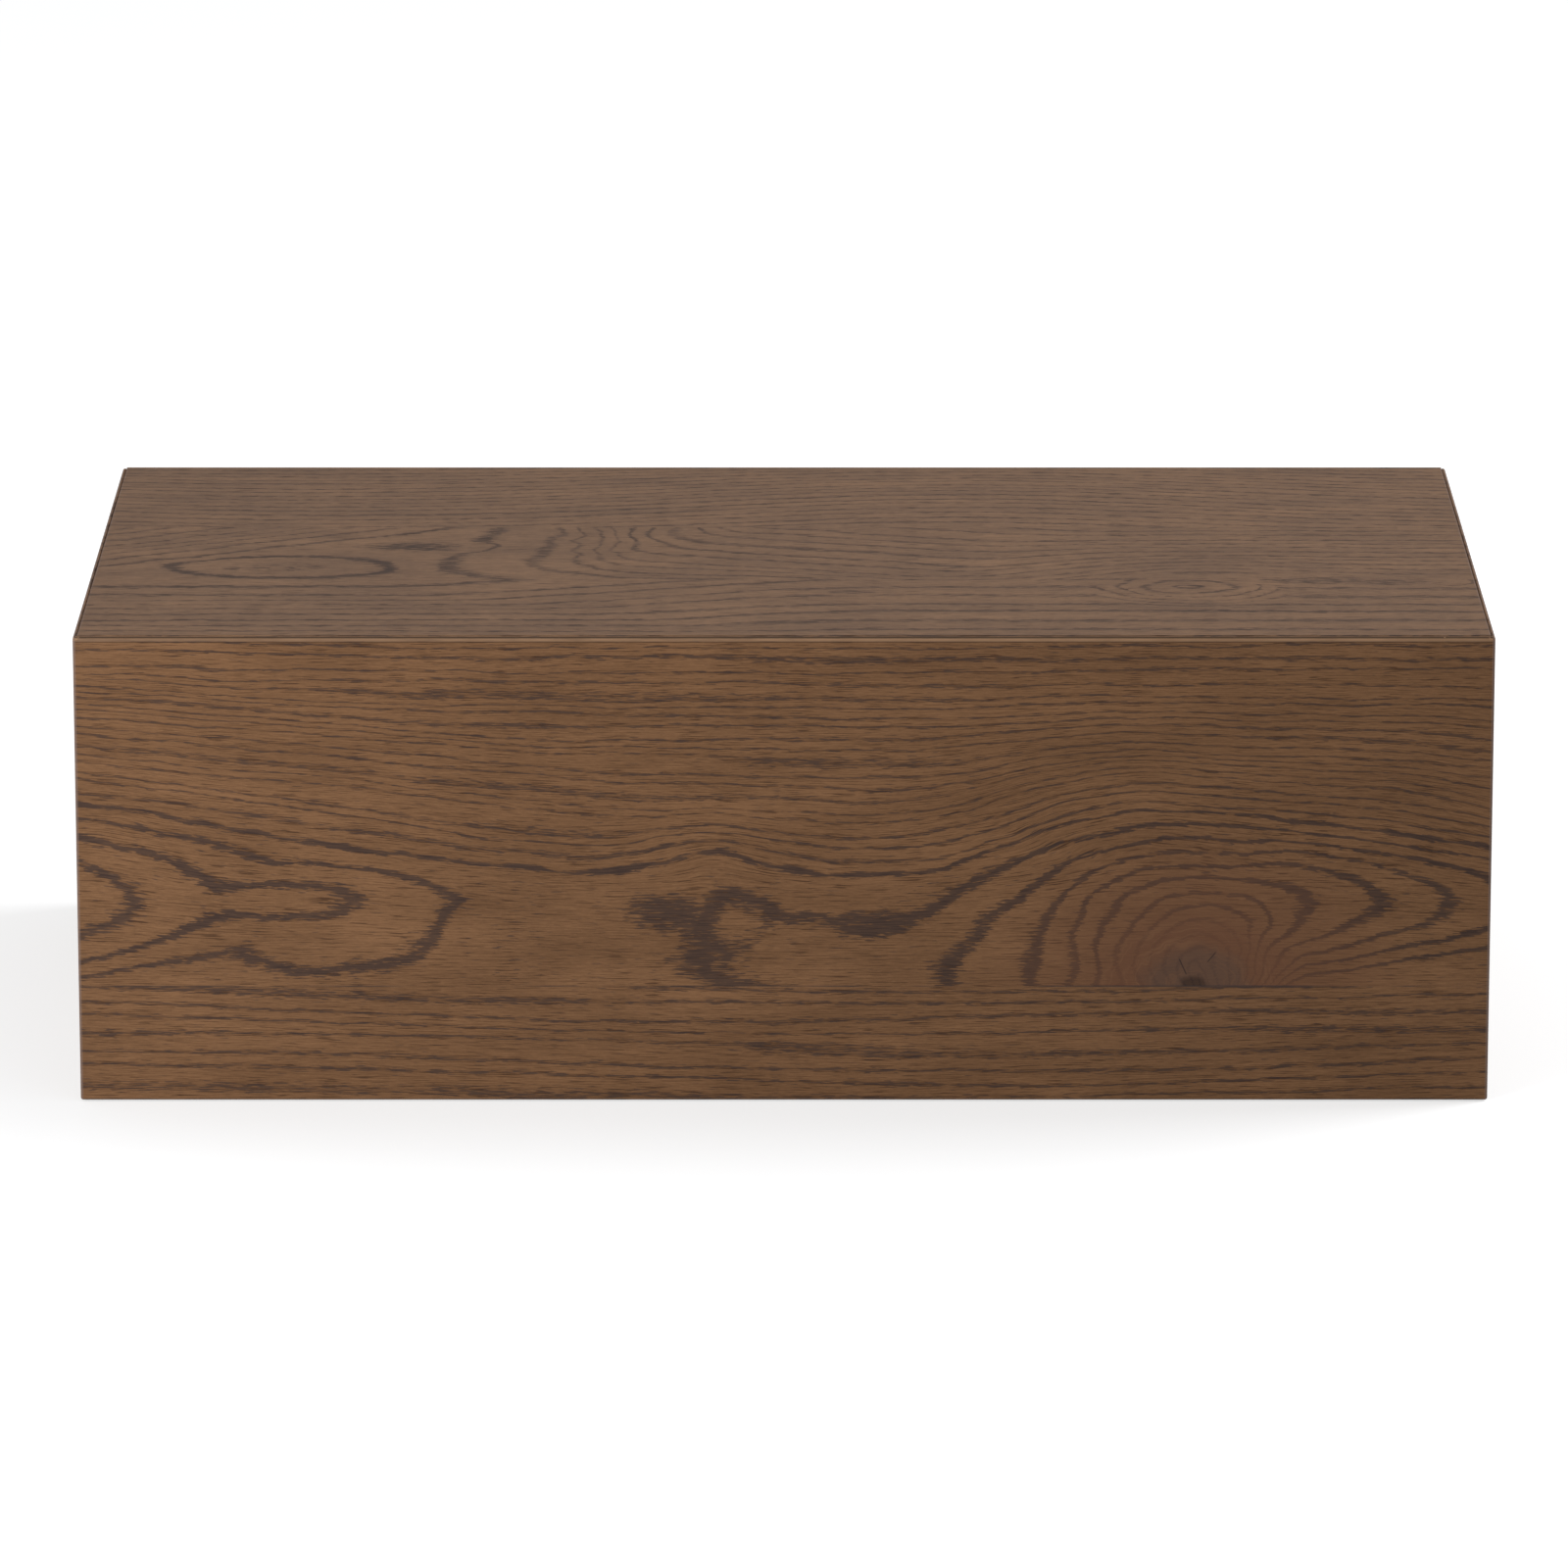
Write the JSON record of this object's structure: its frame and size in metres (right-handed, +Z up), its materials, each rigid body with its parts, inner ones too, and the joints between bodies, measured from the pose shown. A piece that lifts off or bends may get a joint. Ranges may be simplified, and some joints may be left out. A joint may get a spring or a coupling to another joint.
{
  "type": "storage chest",
  "caption": "Low rectangular wood-veneered chest with mitred edges and a flush lid that is hinged at the back and held open by two slotted stays.",
  "frame": {"origin": "floor level, under the middle of the whole object including its hinge knuckles", "axes": "+X along the chest to its right end seen from the front, -Y out of the front, +Z up"},
  "size_m": [1, 0.5565, 0.34],
  "materials": {
    "oak_veneer": "stained oak veneer, satin lacquer, visible grain",
    "plywood": "birch plywood, clear sealed",
    "softwood": "planed pine, unfinished",
    "hinge_steel": "zinc plated, satin",
    "stay_steel": "nickel plated, satin",
    "screw_steel": "zinc plated",
    "cap_plastic": "black nylon",
    "bumper_rubber": "matt",
    "glide_steel": "nickel plated"
  },
  "bodies": {
    "case": {"front_panel": "oak_veneer", "back_panel": "oak_veneer", "left_side_panel": "oak_veneer", "right_side_panel": "oak_veneer", "base_panel": "plywood", "front_left_spline": "plywood", "front_left_corner_block": "softwood", "front_right_spline": "plywood", "front_right_corner_block": "softwood", "back_left_spline": "plywood", "back_left_corner_block": "softwood", "back_right_spline": "plywood", "back_right_corner_block": "softwood", "left_bearer": "softwood", "left_hinge_case_leaf": "hinge_steel", "left_hinge_pin": "hinge_steel", "centre_bearer": "softwood", "centre_hinge_case_leaf": "hinge_steel", "centre_hinge_pin": "hinge_steel", "right_bearer": "softwood", "right_hinge_case_leaf": "hinge_steel", "right_hinge_pin": "hinge_steel", "left_stay_post": "stay_steel", "left_stay_wall_plate": "stay_steel", "left_stay_cap": "cap_plastic", "right_stay_post": "stay_steel", "right_stay_wall_plate": "stay_steel", "right_stay_cap": "cap_plastic", "lid_bumpers": "bumper_rubber", "front_glides": "glide_steel", "back_glides": "glide_steel", "case_hinge_screws": "screw_steel", "wall_plate_screws": "screw_steel"},
    "lid": {"lid_panel": "oak_veneer", "left_hinge_lid_leaf": "hinge_steel", "centre_hinge_lid_leaf": "hinge_steel", "right_hinge_lid_leaf": "hinge_steel", "left_lid_batten": "softwood", "left_stay_rivet": "stay_steel", "left_stay_lid_bracket": "stay_steel", "right_lid_batten": "softwood", "right_stay_rivet": "stay_steel", "right_stay_lid_bracket": "stay_steel", "batten_screws": "screw_steel", "lid_hinge_screws": "screw_steel", "lid_bracket_screws": "screw_steel"},
    "left_stay": {"left_stay_arm": "stay_steel"},
    "right_stay": {"right_stay_arm": "stay_steel"}
  },
  "joints": [
    {"name": "lid_hinge", "type": "hinge", "parent": "case", "child": "lid", "pos_m": [0, 0.27525, 0.3214], "axis": [-1, 0, 0], "range_deg": [0, 100]},
    {"name": "left_stay_pivot", "type": "hinge", "parent": "lid", "child": "left_stay", "pos_m": [-0.47605, 0.12171, 0.30959], "axis": [-1, 0, 0], "range_deg": [-50, 0]},
    {"name": "right_stay_pivot", "type": "hinge", "parent": "lid", "child": "right_stay", "pos_m": [0.47605, 0.12171, 0.30959], "axis": [-1, 0, 0], "range_deg": [-50, 0]}
  ],
  "couplings": [
    {"joint": "left_stay_pivot", "follows": "lid_hinge", "ratio": -0.5},
    {"joint": "right_stay_pivot", "follows": "lid_hinge", "ratio": -0.5}
  ]
}
